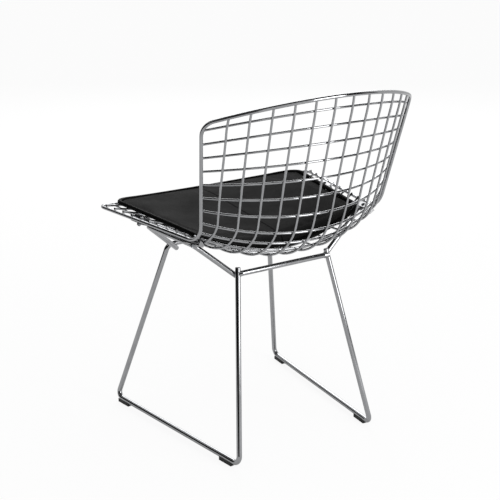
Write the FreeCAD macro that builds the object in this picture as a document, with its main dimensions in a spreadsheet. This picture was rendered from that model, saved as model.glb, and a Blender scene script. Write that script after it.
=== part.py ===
import FreeCAD, Part
import math
import os

from FreeCAD import Placement, Rotation, Vector

# Wire mesh chair: a welded wire shell on a sled frame, with a loose seat pad.
# Millimetres. The chair stands on Z = 0 and faces -Y, and the sitter's left is +X.
# The origin is on the floor under the middle of the chair's overall length and width.

# Driving sizes: alias, value and what it is
SIZES = [
    ("wire_diameter", 4.5, "mesh wire"),
    ("rim_diameter", 7, "perimeter rod of the shell"),
    ("frame_diameter", 11, "rod of the sled frame, crossbar and rails"),
    ("weld_gap", 0.1, "space left at a weld or a seat"),
    ("shell_length", 541, "front to rear, between perimeter rod centres"),
    ("back_height", 755, "top of the perimeter rod's centre line"),
    ("front_height", 455.5, "perimeter rod's centre at the middle of the front"),
    ("bend_height", 395.5, "where the back's and the seat's middle lines would meet"),
    ("bend_from_back", 92, "the same point, in front of the top of the back"),
    ("bend_radius", 134, "bend of the shell's middle line"),
    ("top_corner_half_width", 247, "top corner of the perimeter rod"),
    ("top_corner_from_back", 101, "top corner, in front of the top of the back"),
    ("top_corner_height", 711.5, "top corner of the perimeter rod"),
    ("top_corner_run", 24, "length of each side of the top corner's bend"),
    ("waist_half_width", 217.7, "where the back's edge meets the seat's edge"),
    ("waist_from_back", 155, "the waist, in front of the top of the back"),
    ("waist_height", 469, "the waist's height"),
    ("waist_radius", 46, "bend of the perimeter rod at the waist"),
    ("front_corner_half_width", 270, "front corner of the perimeter rod"),
    ("front_corner_from_front", 71, "front corner, behind the middle of the front"),
    ("front_corner_height", 477.4, "front corner of the perimeter rod"),
    ("front_corner_run", 15, "length of each side of the front corner's bend"),
    ("cross_wires", 20, "number of cross wires"),
    ("back_cross_wires", 8, "number of cross wires above the waist"),
    ("bend_cross_wires", 2, "number of cross wires more in the bend"),
    ("first_cross_wire", 24.4, "first cross wire below the top, on the middle line"),
    ("back_pitch", 34, "cross wire pitch on the back's middle line"),
    ("back_pitch_growth", 1.13, "growth of that pitch from wire to wire"),
    ("bend_pitch", 31.8, "cross wire pitch on the middle line in the bend"),
    ("edge_first_cross_wire", 14.7, "first cross wire below the top corner"),
    ("edge_back_pitch", 27.7, "cross wire pitch on the back's edge"),
    ("edge_bend_pitch", 25.9, "cross wire pitch on the edge at the waist"),
    ("edge_last_cross_wire", 19.8, "last cross wire behind the front corner"),
    ("half_columns", 6, "fore and aft wires on each side of the middle"),
    ("top_column_pitch", 41.1, "fore and aft wire pitch at the first cross wire"),
    ("waist_column_pitch", 37.8, "fore and aft wire pitch at the waist"),
    ("front_column_pitch", 43.2, "fore and aft wire pitch at the front"),
    ("runner_height", 9.8, "centre line of the runners"),
    ("front_foot_half_width", 217.3, "front end of the runners"),
    ("front_foot_setback", 14.8, "front end of the runners, behind the front"),
    ("runner_length", 428, "front to rear, along Y"),
    ("rear_foot_half_width", 169.5, "rear end of the runners"),
    ("foot_bend_radius", 14, "centre line of the sled's foot bends"),
    ("front_rail_half_width", 131.2, "where the front legs turn into the cross rail"),
    ("front_rail_setback", 109.4, "front cross rail, behind the front"),
    ("front_rail_height", 380, "front cross rail"),
    ("rail_bend_radius", 16, "centre line of the bend into the cross rail"),
    ("rear_leg_top_half_width", 110.2, "top end of the rear legs"),
    ("rear_leg_top_setback", 349.4, "top end of the rear legs, behind the front"),
    ("rear_leg_top_height", 391.5, "top end of the rear legs"),
    ("crossbar_height", 378, "rear crossbar"),
    ("crossbar_flare", 2, "weld bead at the crossbar's ends, over its radius"),
    ("crossbar_flare_length", 4, "length of that bead"),
    ("side_rail_rear_station", 61.5, "rear bend of the side rail, along Y"),
    ("side_rail_rear_inset", 24.7, "rear bend, inboard of the seat's edge rod"),
    ("side_rail_rear_drop", 21.5, "rear bend, below the seat's edge rod"),
    ("side_rail_rear_radius", 14, "centre line of the rear bend"),
    ("side_rail_front_station", -74, "front bend of the side rail, along Y"),
    ("side_rail_front_inset", 22, "front bend, inboard of the seat's edge rod"),
    ("side_rail_front_drop", 15.5, "front bend, below the seat's edge rod"),
    ("side_rail_front_radius", 14, "centre line of the front bend"),
    ("side_rail_weld_height", 376, "where the side rail meets the rear leg"),
    ("side_rail_weld_half_width", 116.5, "where the side rail meets the cross rail"),
    ("side_rail_overrun", 4.5, "side rail's ends past their welds"),
    ("end_round", 2, "rounding of the rods' cut ends"),
    ("glide_length", 38, "glide along its runner"),
    ("glide_width", 11.4, "glide across its runner"),
    ("glide_top", 8, "height of the glide's lips"),
    ("front_glide_from_foot", 28.7, "glide's middle behind the front foot, along Y"),
    ("rear_glide_from_foot", 39.3, "glide's middle before the rear foot, along Y"),
    ("saddle_width", 13, "clamp saddle and plate across the seat"),
    ("saddle_groove", 1, "depth to which the cross wires lie in the saddle"),
    ("saddle_height", 11, "saddle under the cross wires"),
    ("saddle_notch_room", 1.5, "saddle's notch, round the outermost fore and aft wire"),
    ("plate_thickness", 2.5, "clamp plate over the cross wires"),
    ("rear_clamp_length", 48, "rear saddle and plate along the seat's edge"),
    ("front_clamp_length", 40, "front saddle and plate along the seat's edge"),
    ("rear_clamp_wire", 10.7, "rear bolt's place among the cross wires"),
    ("front_clamp_wire", 16.6, "front bolt's place among the cross wires"),
    ("clamp_inset", 16, "clamp bolt inboard of the ends of the cross wires"),
    ("bolt_diameter", 5, "clamp bolt"),
    ("bolt_head_diameter", 8.5, "button head"),
    ("bolt_head_height", 2.75, "button head"),
    ("bolt_head_rim", 0.6, "upright edge of the button head"),
    ("bolt_tail", 2, "bolt beyond its nut"),
    ("bolt_clearance", 0.25, "between a bolt and its hole, all round"),
    ("nut_across_flats", 8, "clamp nut"),
    ("nut_height", 4, "clamp nut"),
    ("pad_front_wire", 20.63, "pad's front edge on the middle line, in cross wires"),
    ("pad_front_side_wire", 19.98, "the same edge at the sides, in cross wires"),
    ("pad_rear_wire", 11.95, "pad's rear edge on the middle line, in cross wires"),
    ("pad_rear_side_wire", 10.6, "the same edge at the sides, in cross wires"),
    ("pad_front_half_width", 236, "welt's centre line at the front edge"),
    ("pad_rear_half_width", 195.5, "welt's centre line at the rear edge"),
    ("pad_front_corner", 26, "rounding of the welt's front corners"),
    ("pad_rear_corner", 24, "rounding of the welt's rear corners"),
    ("pad_edge_height", 8, "cover at its sides and front corners"),
    ("pad_rear_corner_height", 12, "cover at its rear corners"),
    ("pad_corner_rise_share", 0.28, "share of the length in which its sides rise to those"),
    ("pad_front_height", 10, "cover at the middle of its front edge"),
    ("pad_rear_height", 14, "cover at the middle of its rear edge"),
    ("pad_front_crown_height", 15.5, "pad's middle at the front, without the edge's roll"),
    ("pad_rear_crown_height", 25.5, "pad's middle at the rear, without the edge's roll"),
    ("pad_front_roll", 90, "length over which the pad rises from its front edge"),
    ("pad_rear_roll", 26, "length over which the pad rises from its rear edge"),
    ("pad_seam_depth", 1.5, "hollow along the middle seam"),
    ("pad_side_hollow", 0.8, "inward curve of the cover's sides"),
    ("pad_clearance", 0.3, "between the pad and the wires, and its own layers"),
    ("board_thickness", 3, "base board, let into the cover's underside"),
    ("board_inset", 11, "board inside the welt's centre line"),
    ("welt_diameter", 9, "welt round the cover"),
    ("welt_room", 2.2, "between the welt and the cover's side"),
    ("prong_length", 9, "locating prong along its cross wire"),
    ("prong_thickness", 3, "locating prong"),
    ("prong_clearance", 0.4, "between a prong and its cross wire"),
    ("prong_reach", 5, "locating prong below its cross wire's centre"),
    ("prong_station", 122, "locating prongs from the middle, along the wire"),
    ("front_prong_wire", 18, "cross wire between the front prongs"),
    ("rear_prong_wire", 14, "cross wire between the rear prongs"),
]

# Arcs flatter than this are drawn as straight lines
FLAT_ARC_RISE = 0.002

doc = FreeCAD.newDocument("wire_mesh_chair")
sheet = doc.addObject("Spreadsheet::Sheet", "Sizes")
for line, (alias, value, meaning) in enumerate(SIZES, start=1):
    sheet.set(f"A{line}", alias)
    sheet.set(f"B{line}", str(value))
    sheet.set(f"C{line}", meaning)
    sheet.setAlias(f"B{line}", alias)
doc.recompute()

sub_parts = []


def size(alias):
    """The value of one driving size."""
    return float(sheet.get(alias))


def bind(feature, **expressions):
    """Bind properties of a feature to the sheet's sizes."""
    for name, expression in expressions.items():
        feature.setExpression(name.replace("__", "."), expression)


def sub_part(feature, label):
    """Name a finished piece, which gets a STEP file of that name."""
    feature.Label = label
    sub_parts.append(feature)
    return feature


# Straight lines, arcs and smooth chains of arcs

def flip(point):
    """The same point on the other side of the chair."""
    return Vector(-point.x, point.y, point.z)


def toward(start, end):
    """Unit direction from one point to another."""
    return (end - start).normalize()


def blend(first, second, share):
    """A point or a number part of the way from the first to the second."""
    return first * (1 - share) + second * share


def arc_or_line(start, middle, end):
    """One edge through three points, straight where they are nearly in line."""
    chord = toward(start, end)
    rise = (middle - start).cross(chord).Length
    if rise < FLAT_ARC_RISE:
        return Part.LineSegment(start, end).toShape()
    return Part.Arc(start, middle, end).toShape()


def biarc(start, start_way, end, end_way):
    """Two tangent arcs that leave and reach two points along given directions."""
    span = end - start
    ways = start_way + end_way
    a = 2 * (1 - start_way.dot(end_way))
    b = 2 * span.dot(ways)
    c = -span.dot(span)
    if a < 1e-12:
        reach = -c / b
    else:
        reach = (-b + math.sqrt(b * b - 4 * a * c)) / (2 * a)
    joint = (start + end + (start_way - end_way) * reach) * 0.5
    edges = []
    corners = (start + start_way * reach, end - end_way * reach)
    for first, corner, last in ((start, corners[0], joint), (joint, corners[1], end)):
        half_chord = (last - first).Length / 2
        base = (first + last) * 0.5
        height = (corner - base).Length
        slant = math.hypot(half_chord, height)
        middle = base
        if height > 0:
            middle = base + (corner - base) * (half_chord / (half_chord + slant))
        edges.append(arc_or_line(first, middle, last))
    return edges


def circle_way(before, point, after):
    """Direction at a point of the circle through it and its neighbours."""
    first = point - before
    second = after - point
    way = first * (1 / first.Length ** 2) + second * (1 / second.Length ** 2)
    return way.normalize()


def smooth_chain(points, start_way=None, end_way=None):
    """Tangent arcs through all the points."""
    ways = [circle_way(*points[i - 1:i + 2]) for i in range(1, len(points) - 1)]
    chords = (toward(points[0], points[1]), toward(points[-2], points[-1]))
    first = start_way or (chords[0] * (2 * chords[0].dot(ways[0])) - ways[0])
    last = end_way or (chords[1] * (2 * chords[1].dot(ways[-1])) - ways[-1])
    ways = [first] + ways + [last]
    edges = []
    for i in range(len(points) - 1):
        edges += biarc(points[i], ways[i], points[i + 1], ways[i + 1])
    return edges


def bent_line(points, radii):
    """Edges of a rod bent at its inner points, with the radius of each bend."""
    edges = []
    start = points[0]
    for before, corner, after, radius in zip(points, points[1:], points[2:], radii):
        way_in = toward(before, corner)
        way_out = toward(corner, after)
        half_turn = way_in.getAngle(way_out) / 2
        run = radius * math.tan(half_turn)
        bend_start = corner - way_in * run
        bend_end = corner + way_out * run
        inside = toward(corner, (bend_start + bend_end) * 0.5)
        middle = corner + inside * (radius / math.cos(half_turn) - radius)
        edges.append(Part.LineSegment(start, bend_start).toShape())
        edges.append(Part.Arc(bend_start, middle, bend_end).toShape())
        start = bend_end
    edges.append(Part.LineSegment(start, points[-1]).toShape())
    return edges


def round_rod(name, edges, diameter_alias, room="0"):
    """A rod of one diameter swept along its centre line, with room round it."""
    path = doc.addObject("Part::Feature", name + "_path")
    path.Shape = Part.Wire(edges)
    start = path.Shape.OrderedVertexes[0].Point
    first_edge = path.Shape.OrderedEdges[0]
    parameter = first_edge.Curve.parameter(start)
    way = first_edge.tangentAt(parameter)
    section = doc.addObject("Part::Circle", name + "_section")
    bind(section, Radius=f"Sizes.{diameter_alias} / 2 + {room}")
    section.Placement = Placement(start, Rotation(Vector(0, 0, 1), way))
    rod = doc.addObject("Part::Sweep", name)
    rod.Sections = [section]
    rod.Spine = (path, [])
    rod.Solid = True
    rod.Frenet = False
    return rod


def rounded_end(rod, name, end):
    """The rod with the rim of one cut end rounded."""
    doc.recompute()
    numbers = [number for number, edge in enumerate(rod.Shape.Edges, start=1)
               if edge.CenterOfMass.distanceToPoint(end) < frame_radius / 2]
    rounded = doc.addObject("Part::Fillet", name)
    rounded.Base = rod
    rounded.Edges = [(number, size("end_round"), size("end_round")) for number in numbers]
    return rounded


def cut_away(feature, tools, name):
    """The piece less the rods or holes that it fits round."""
    cut = doc.addObject("Part::Cut", name)
    cut.Base = feature
    if len(tools) == 1:
        cut.Tool = tools[0]
        return cut
    joined = doc.addObject("Part::MultiFuse", name + "_tools")
    joined.Shapes = tools
    cut.Tool = joined
    return cut


def mirrored(feature, name):
    """The same piece on the chair's other side."""
    other = doc.addObject("Part::Mirroring", name)
    other.Source = feature
    other.Normal = Vector(1, 0, 0)
    return other


def both_halves(half, name):
    """One piece out of its left half and the mirror image of it."""
    whole = doc.addObject("Part::Fuse", name)
    whole.Base = half
    whole.Tool = mirrored(half, name + "_right_half")
    whole.Refine = True
    return whole


# The shell's two guide lines: its middle line and its left edge

class BentGuide:
    """Two straight lines and the arc between them, measured along their length."""

    def __init__(self, start, corner, end, radius):
        self.start = start
        self.way_in = toward(start, corner)
        self.way_out = toward(corner, end)
        self.radius = radius
        self.turn = self.way_in.getAngle(self.way_out)
        run = radius * math.tan(self.turn / 2)
        self.bend_at = (corner - start).Length - run
        self.bend_start = corner - self.way_in * run
        self.bend_end = corner + self.way_out * run
        across = self.way_out - self.way_in * self.way_in.dot(self.way_out)
        self.inside = across.normalize()
        self.length = self.bend_at + radius * self.turn + (end - self.bend_end).Length

    def at(self, distance):
        """The point and the direction at a distance from the start."""
        if distance <= self.bend_at:
            return self.start + self.way_in * distance, self.way_in
        angle = (distance - self.bend_at) / self.radius
        if angle < self.turn:
            centre = self.bend_start + self.inside * self.radius
            spoke = self.inside * -math.cos(angle) + self.way_in * math.sin(angle)
            way = self.way_in * math.cos(angle) + self.inside * math.sin(angle)
            return centre + spoke * self.radius, way
        past = distance - self.bend_at - self.radius * self.turn
        return self.bend_end + self.way_out * past, self.way_out


class Bow:
    """A symmetrical circular arc from its middle point to its end on the left."""

    def __init__(self, middle, end):
        self.middle = middle
        rise = Vector(0, end.y - middle.y, end.z - middle.z)
        self.rise = rise.Length
        self.up = rise.normalize()
        self.end = end
        self.radius = (end.x ** 2 + self.rise ** 2) / (2 * self.rise)

    def at(self, distance):
        """The point at a distance along the arc from its middle, left positive."""
        angle = distance / self.radius
        rise = self.radius * (1 - math.cos(angle))
        return self.middle + Vector(self.radius * math.sin(angle), 0, 0) + self.up * rise

    def way(self, distance):
        """The direction of the arc at a distance from its middle."""
        angle = distance / self.radius
        return Vector(math.cos(angle), 0, 0) + self.up * math.sin(angle)

    def half_length(self):
        """The length from the middle to the end."""
        return self.distance_at(self.end.x)

    def distance_at(self, half_width):
        """The distance from the middle at which the arc is so far from it in X."""
        return self.radius * math.asin(half_width / self.radius)


wire_radius = size("wire_diameter") / 2
rim_radius = size("rim_diameter") / 2
frame_radius = size("frame_diameter") / 2
weld_gap = size("weld_gap")
rear_y = size("shell_length") / 2
front_y = -rear_y
cross_wire_count = int(size("cross_wires"))
waist_wire = int(size("back_cross_wires"))
bend_wire = waist_wire + int(size("bend_cross_wires"))
column_count = int(size("half_columns"))

top_middle = Vector(0, rear_y, size("back_height"))
front_middle = Vector(0, front_y, size("front_height"))
bend_corner = Vector(0, rear_y - size("bend_from_back"), size("bend_height"))
top_corner = Vector(size("top_corner_half_width"), rear_y - size("top_corner_from_back"),
                    size("top_corner_height"))
waist_corner = Vector(size("waist_half_width"), rear_y - size("waist_from_back"),
                      size("waist_height"))
front_corner = Vector(size("front_corner_half_width"),
                      front_y + size("front_corner_from_front"),
                      size("front_corner_height"))

middle_line = BentGuide(top_middle, bend_corner, front_middle, size("bend_radius"))
edge_line = BentGuide(top_corner, waist_corner, front_corner, size("waist_radius"))


def middle_station(number):
    """Distance along the middle line of a cross wire, which may be a fraction."""
    def back(count):
        growth = size("back_pitch_growth") * (count - 1) * (count - 2) / 2
        return size("first_cross_wire") + size("back_pitch") * (count - 1) + growth
    if number <= waist_wire:
        return back(number)
    bend_end = back(waist_wire) + size("bend_pitch") * (bend_wire - waist_wire)
    if number <= bend_wire:
        return blend(back(waist_wire), bend_end, (number - waist_wire) / (bend_wire - waist_wire))
    share = (number - bend_wire) / (cross_wire_count + 1 - bend_wire)
    return blend(bend_end, middle_line.length, share)


def edge_station(number):
    """Distance along the edge of a cross wire, which may be a fraction."""
    def back(count):
        return size("edge_first_cross_wire") + size("edge_back_pitch") * (count - 1)
    if number <= waist_wire:
        return back(number)
    if number <= bend_wire:
        return back(waist_wire) + size("edge_bend_pitch") * (number - waist_wire)
    bend_end = back(waist_wire) + size("edge_bend_pitch") * (bend_wire - waist_wire)
    last = edge_line.length - size("edge_last_cross_wire")
    return blend(bend_end, last, (number - bend_wire) / (cross_wire_count - bend_wire))


def column_pitch(number):
    """Distance between fore and aft wires along a cross wire."""
    if number <= waist_wire:
        share = number / waist_wire
        return blend(size("top_column_pitch"), size("waist_column_pitch"), share)
    share = (number - waist_wire) / (cross_wire_count + 1 - waist_wire)
    return blend(size("waist_column_pitch"), size("front_column_pitch"), share)


def edge_normal(middle, point, way):
    """The shell's inward direction at a point of the edge, square to the perimeter rod."""
    bow = Bow(middle, point)
    outward = bow.way(bow.half_length())
    normal = outward.cross(way).normalize()
    if normal.z - normal.y < 0:
        normal = -normal
    return normal


def mesh_bow(middle_number, edge_number):
    """A bow on the cross wires' level, between the places of two wire numbers."""
    middle, middle_way = middle_line.at(middle_station(middle_number))
    inward = Vector(0, middle_way.z, -middle_way.y)
    edge, edge_way = edge_line.at(edge_station(edge_number))
    lift = rim_radius + wire_radius + weld_gap
    return Bow(middle + inward * wire_radius,
               edge + edge_normal(middle, edge, edge_way) * lift)


cross_bows = {number: mesh_bow(number, number) for number in range(1, cross_wire_count + 1)}


def crossing(number, column):
    """The centre of a fore and aft wire where it passes under a cross wire."""
    distance = (column - 0.5) * column_pitch(number)
    point = cross_bows[number].at(distance)
    before = max(number - 1, 1)
    after = min(number + 1, cross_wire_count)
    along = toward(cross_bows[before].at((column - 0.5) * column_pitch(before)),
                   cross_bows[after].at((column - 0.5) * column_pitch(after)))
    normal = cross_bows[number].way(distance).cross(along).normalize()
    if normal.z - normal.y < 0:
        normal = -normal
    return point - normal * (2 * wire_radius + weld_gap)


# Perimeter rod: one closed loop, bent at four corners and at the waist

top_bow = Bow(top_middle, top_corner)
front_bow = Bow(front_middle, front_corner)


def perimeter_edges():
    """Centre line of the perimeter rod's left half, from the top to the front."""
    top_run = size("top_corner_run")
    front_run = size("front_corner_run")
    top_distance = top_bow.half_length() - top_run
    front_distance = front_bow.half_length() - front_run
    top_end = top_bow.at(top_distance)
    front_start = front_bow.at(front_distance)
    side_start, side_way = edge_line.at(top_run)
    side_end, seat_way = edge_line.at(edge_line.length - front_run)
    waist_middle, _ = edge_line.at(edge_line.bend_at + edge_line.radius * edge_line.turn / 2)
    edges = [Part.Arc(top_middle, top_bow.at(top_distance / 2), top_end).toShape()]
    edges += biarc(top_end, top_bow.way(top_distance), side_start, side_way)
    edges.append(Part.LineSegment(side_start, edge_line.bend_start).toShape())
    edges.append(Part.Arc(edge_line.bend_start, waist_middle, edge_line.bend_end).toShape())
    edges.append(Part.LineSegment(edge_line.bend_end, side_end).toShape())
    edges += biarc(side_end, seat_way, front_start, -front_bow.way(front_distance))
    edges.append(Part.Arc(front_start, front_bow.at(front_distance / 2), front_middle).toShape())
    return edges


def perimeter_rod():
    """The closed rod round the back and the seat."""
    half = round_rod("perimeter_half", perimeter_edges(), "rim_diameter")
    return sub_part(both_halves(half, "perimeter"), "perimeter_rod")


# Mesh wires

def cross_wire_edges(number):
    """Centre line of a wire bowed across the shell, its ends on the perimeter rod."""
    bow = cross_bows[number]
    return [Part.Arc(flip(bow.end), bow.middle, bow.end).toShape()]


def cross_wires():
    """The cross wires, numbered from the top of the back."""
    for number in cross_bows:
        rod = round_rod(f"cross_{number}", cross_wire_edges(number), "wire_diameter")
        sub_part(rod, f"cross_wire_{number:02d}")


def fore_aft_edges(column):
    """Centre line of a wire from the top of the back to the front."""
    points = [crossing(number, column) for number in range(1, cross_wire_count + 1)]
    top = top_bow.at((column - 0.5) * column_pitch(0))
    front = front_bow.at((column - 0.5) * column_pitch(cross_wire_count + 1))
    return smooth_chain([top] + points + [front])


def fore_aft_wires():
    """Six wires on each side of the middle, numbered from the sitter's left."""
    rim_room = round_rod("rim_room", perimeter_edges(), "rim_diameter", "Sizes.weld_gap")
    for column in range(1, column_count + 1):
        rod = round_rod(f"fore_aft_rod_{column}", fore_aft_edges(column), "wire_diameter")
        left = cut_away(rod, [rim_room], f"fore_aft_{column}")
        right = mirrored(left, f"fore_aft_right_{column}")
        sub_part(left, f"fore_aft_wire_{column_count + 1 - column:02d}")
        sub_part(right, f"fore_aft_wire_{column_count + column:02d}")


# Sled frame, crossbar and side rails

runner_z = size("runner_height")
front_foot = Vector(size("front_foot_half_width"), front_y + size("front_foot_setback"), runner_z)
rear_foot = Vector(size("rear_foot_half_width"), front_foot.y + size("runner_length"), runner_z)
front_rail_end = Vector(size("front_rail_half_width"), front_y + size("front_rail_setback"),
                        size("front_rail_height"))
rear_leg_top = Vector(size("rear_leg_top_half_width"),
                      front_y + size("rear_leg_top_setback"), size("rear_leg_top_height"))


def sled_frame():
    """Rear legs, runners, front legs and front cross rail in one bent rod."""
    middle = Vector(0, front_rail_end.y, front_rail_end.z)
    points = [rear_leg_top, rear_foot, front_foot, front_rail_end, middle]
    foot = size("foot_bend_radius")
    edges = bent_line(points, [foot, foot, size("rail_bend_radius")])
    rod = round_rod("sled_rod", edges, "frame_diameter")
    half = rounded_end(rod, "sled_half", rear_leg_top)
    return sub_part(both_halves(half, "sled"), "sled_frame")


def rear_leg_at(height):
    """The rear leg's centre at a height."""
    return blend(rear_foot, rear_leg_top, (height - runner_z) / (rear_leg_top.z - runner_z))


def leg_cope(name):
    """The space that a rod's end leaves for the rear leg that it is welded to."""
    cope = doc.addObject("Part::Cylinder", name)
    bind(cope, Radius="Sizes.frame_diameter / 2 + Sizes.weld_gap",
         Height="Sizes.rear_leg_top_height")
    cope.Placement = Placement(rear_foot, Rotation(Vector(0, 0, 1), rear_leg_top - rear_foot))
    return cope


def rear_crossbar():
    """The bar between the rear legs, coped to its neighbours, with weld beads."""
    end = rear_leg_at(size("crossbar_height"))
    middle = Vector(0, end.y, end.z)
    bar = doc.addObject("Part::Cylinder", "crossbar_half")
    bind(bar, Radius="Sizes.frame_diameter / 2")
    bar.Height = end.x
    bar.Placement = Placement(middle, Rotation(Vector(0, 0, 1), Vector(1, 0, 0)))
    bead_length = frame_radius + size("crossbar_flare_length")
    bead = doc.addObject("Part::Cone", "crossbar_bead")
    bind(bead, Radius1="Sizes.frame_diameter / 2",
         Radius2="Sizes.frame_diameter / 2 + Sizes.crossbar_flare",
         Height="Sizes.frame_diameter / 2 + Sizes.crossbar_flare_length")
    bead.Placement = Placement(end - Vector(bead_length, 0, 0),
                               Rotation(Vector(0, 0, 1), Vector(1, 0, 0)))
    bar_and_bead = doc.addObject("Part::Fuse", "crossbar_left")
    bar_and_bead.Base = bar
    bar_and_bead.Tool = bead
    rail = round_rod("crossbar_rail_room", side_rail_edges()[2], "frame_diameter",
                     "Sizes.weld_gap")
    coped = cut_away(bar_and_bead, [leg_cope("crossbar_cope"), rail], "crossbar_coped")
    return sub_part(both_halves(coped, "crossbar"), "rear_crossbar")


def edge_rod_at(station):
    """The seat's straight edge rod at a place along Y."""
    share = (station - waist_corner.y) / (front_corner.y - waist_corner.y)
    return blend(waist_corner, front_corner, share)


def under_edge(station, inset, drop):
    """A point inboard of the seat's edge rod and below it."""
    return edge_rod_at(station) - Vector(inset, 0, drop)


def lap_weld(start, joint, joint_way, side):
    """Where a rail from a point lies against another rod, on its -Y or +Y side."""
    rail_way = toward(start, joint)
    away = rail_way.cross(joint_way).normalize()
    if away.y * side < 0:
        away = -away
    return joint + away * (2 * frame_radius + weld_gap)


def side_rail_edges():
    """Centre line of the left rail: from the rear leg under the seat to the cross rail."""
    rear_bend = under_edge(size("side_rail_rear_station"), size("side_rail_rear_inset"),
                           size("side_rail_rear_drop"))
    front_bend = under_edge(size("side_rail_front_station"), size("side_rail_front_inset"),
                            size("side_rail_front_drop"))
    leg_point = rear_leg_at(size("side_rail_weld_height"))
    rail_point = Vector(size("side_rail_weld_half_width"), front_rail_end.y, front_rail_end.z)
    rear_weld = lap_weld(rear_bend, leg_point, toward(rear_foot, rear_leg_top), -1)
    front_weld = lap_weld(front_bend, rail_point, Vector(1, 0, 0), 1)
    overrun = size("side_rail_overrun")
    start = rear_weld + toward(rear_bend, rear_weld) * overrun
    end = front_weld + toward(front_bend, front_weld) * overrun
    radii = [size("side_rail_rear_radius"), size("side_rail_front_radius")]
    return start, end, bent_line([start, rear_bend, front_bend, end], radii)


def side_rails():
    """A hairpin on each side that carries the shell, welded to the sled frame."""
    start, end, edges = side_rail_edges()
    rod = round_rod("side_rail_rod", edges, "frame_diameter")
    left = rounded_end(rounded_end(rod, "side_rail_start", start), "side_rail", end)
    sub_part(left, "side_rail_left")
    sub_part(mirrored(left, "side_rail_mirror"), "side_rail_right")


# Glides under the runners

def glide(label, station):
    """A plastic glide with a flat sole, hollowed to hold the runner."""
    body = doc.addObject("PartDesign::Body", label + "_body")
    ground = next(plane for plane in body.Origin.OriginFeatures if plane.Role == "XZ_Plane")
    sketch = body.newObject("Sketcher::SketchObject", label + "_section")
    sketch.AttachmentSupport = [(ground, "")]
    sketch.MapMode = "FlatFace"
    half_width = size("glide_width") / 2
    lip = size("glide_top")
    seat = frame_radius + weld_gap
    reach = math.sqrt(seat ** 2 - (runner_z - lip) ** 2)
    corners = [Vector(-half_width, 0, 0), Vector(half_width, 0, 0),
               Vector(half_width, lip, 0), Vector(reach, lip, 0),
               Vector(-reach, lip, 0), Vector(-half_width, lip, 0)]
    sole, right, right_lip = [sketch.addGeometry(Part.LineSegment(*corners[i:i + 2]))
                              for i in range(3)]
    bottom = Vector(0, runner_z - seat, 0)
    hollow = sketch.addGeometry(Part.Arc(corners[3], bottom, corners[4]))
    left_lip = sketch.addGeometry(Part.LineSegment(corners[4], corners[5]))
    left = sketch.addGeometry(Part.LineSegment(corners[5], corners[0]))
    pad = body.newObject("PartDesign::Pad", label + "_pad")
    pad.Profile = sketch
    pad.Midplane = True
    bind(pad, Length="Sizes.glide_length")
    runner_way = toward(rear_foot, front_foot)
    share = (station - rear_foot.y) / (front_foot.y - rear_foot.y)
    middle = blend(rear_foot, front_foot, share)
    turn = Rotation(Vector(0, -1, 0), runner_way)
    body.Placement = Placement(Vector(middle.x, middle.y, 0), turn)
    return body


def glides():
    """Four glides, two under each runner."""
    stations = {"front": front_foot.y + size("front_glide_from_foot"),
                "rear": rear_foot.y - size("rear_glide_from_foot")}
    for place, station in stations.items():
        left = glide(f"glide_{place}", station)
        sub_part(left, f"glide_{place}_left")
        sub_part(mirrored(left, f"glide_{place}_mirror"), f"glide_{place}_right")


# Clamps that hold the shell's cross wires down to the side rails

def clamp_place(number):
    """The place of a clamp bolt on the shell, its Z square to the cross wires."""
    bow = mesh_bow(number, number)
    distance = bow.half_length() - size("clamp_inset")
    before = mesh_bow(number - 0.5, number - 0.5)
    after = mesh_bow(number + 0.5, number + 0.5)
    ahead = toward(before.at(before.half_length() - size("clamp_inset")),
                   after.at(after.half_length() - size("clamp_inset")))
    normal = ahead.cross(bow.way(distance)).normalize()
    return Placement(bow.at(distance), Rotation(ahead, Vector(), normal, "ZXY"))


def clamp_block(name, place, length_alias, bottom, height, taken_out):
    """A drilled block across two cross wires, less the rods that it fits round."""
    block = doc.addObject("Part::Box", name + "_block")
    bind(block, Length=f"Sizes.{length_alias}", Width="Sizes.saddle_width")
    block.Height = height
    corner = Vector(-size(length_alias) / 2, -size("saddle_width") / 2, bottom)
    block.Placement = place.multiply(Placement(corner, Rotation()))
    hole = doc.addObject("Part::Cylinder", name + "_hole")
    bind(hole, Radius="Sizes.bolt_diameter / 2 + Sizes.bolt_clearance")
    hole.Height = 3 * height
    hole.Placement = place.multiply(Placement(Vector(0, 0, bottom - height), Rotation()))
    return cut_away(block, [hole] + taken_out, name)


def clamp_bolt(name, place, underside, tip):
    """A button head bolt with its head's underside and its tip at given heights."""
    body = doc.addObject("PartDesign::Body", name)
    side = next(plane for plane in body.Origin.OriginFeatures if plane.Role == "XZ_Plane")
    sketch = body.newObject("Sketcher::SketchObject", name + "_section")
    sketch.AttachmentSupport = [(side, "")]
    sketch.MapMode = "FlatFace"
    head = size("bolt_head_diameter") / 2
    shank = size("bolt_diameter") / 2
    top = underside + size("bolt_head_height")
    rim = underside + size("bolt_head_rim")
    corners = [Vector(0, top, 0), Vector(0, tip, 0), Vector(shank, tip, 0),
               Vector(shank, underside, 0), Vector(head, underside, 0), Vector(head, rim, 0)]
    for first, last in zip(corners, corners[1:]):
        sketch.addGeometry(Part.LineSegment(first, last))
    dome_radius = (head ** 2 + (top - rim) ** 2) / (2 * (top - rim))
    half_turn = math.asin(head / dome_radius) / 2
    shoulder = Vector(dome_radius * math.sin(half_turn),
                      top - dome_radius * (1 - math.cos(half_turn)), 0)
    sketch.addGeometry(Part.Arc(corners[-1], shoulder, corners[0]))
    turned = body.newObject("PartDesign::Revolution", name + "_turned")
    turned.Profile = sketch
    turned.ReferenceAxis = (sketch, ["V_Axis"])
    turned.Angle = 360
    body.Placement = place
    return body


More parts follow.
